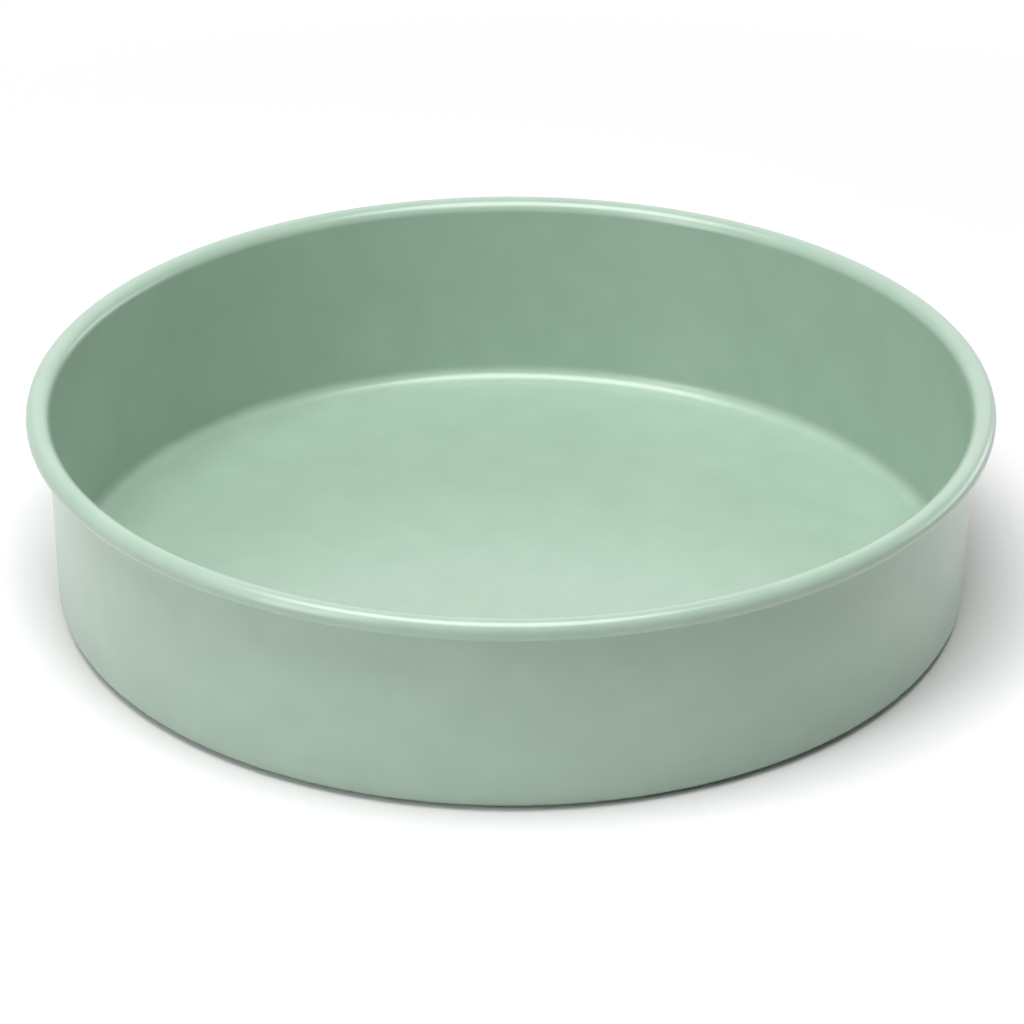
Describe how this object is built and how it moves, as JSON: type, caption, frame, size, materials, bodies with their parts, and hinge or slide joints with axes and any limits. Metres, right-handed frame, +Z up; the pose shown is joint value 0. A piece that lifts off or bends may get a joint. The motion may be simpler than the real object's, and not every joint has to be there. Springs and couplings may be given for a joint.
{
  "type": "round cake tin",
  "caption": "Round cake tin: flat fixed base, nearly upright wall, small rounded corner and a rounded rim rolled outwards over a wire hoop.",
  "frame": {"origin": "centre of the underside of the base, on the surface that the tin stands on", "axes": "+Z up along the tin's axis, out of its mouth; the tin is round, so X and Y may point any way"},
  "size_m": [0.2406, 0.2406, 0.0532],
  "materials": {
    "coated_steel": "sage-green non-stick coating, satin, faintly mottled, the same inside and out",
    "bare_wire": "drawn steel wire, bare, hidden inside the rolled rim"
  },
  "bodies": {
    "root": {"tin_shell": "coated_steel", "rim_wire": "bare_wire"}
  },
  "joints": []
}
